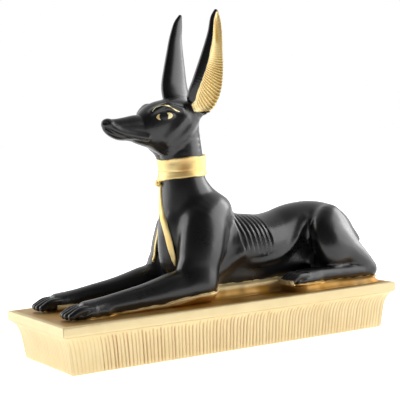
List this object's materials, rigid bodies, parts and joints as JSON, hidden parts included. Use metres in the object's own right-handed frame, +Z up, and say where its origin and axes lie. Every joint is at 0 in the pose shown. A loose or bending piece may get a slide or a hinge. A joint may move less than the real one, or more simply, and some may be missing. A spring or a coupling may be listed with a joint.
{
  "type": "jackal figurine",
  "caption": "Cast resin figurine of a recumbent jackal with tall upright ears and a cloth collar, on a rectangular fluted plinth with a plain slab top.",
  "frame": {"origin": "middle of the plinth's underside, on the surface that the figurine stands on", "axes": "+Z up, -X the way the jackal faces, +X toward its tail, +Y toward its right side"},
  "size_m": [0.22, 0.082, 0.1955],
  "materials": {
    "jackal": "black satin gloss paint over cast resin, with gold paint on the collar, ear linings, brow lines and eyes",
    "plinth": "warm gold metallic paint over cast resin, thin in the grooves"
  },
  "bodies": {
    "root": {"jackal": "jackal", "plinth": "plinth"}
  },
  "joints": []
}
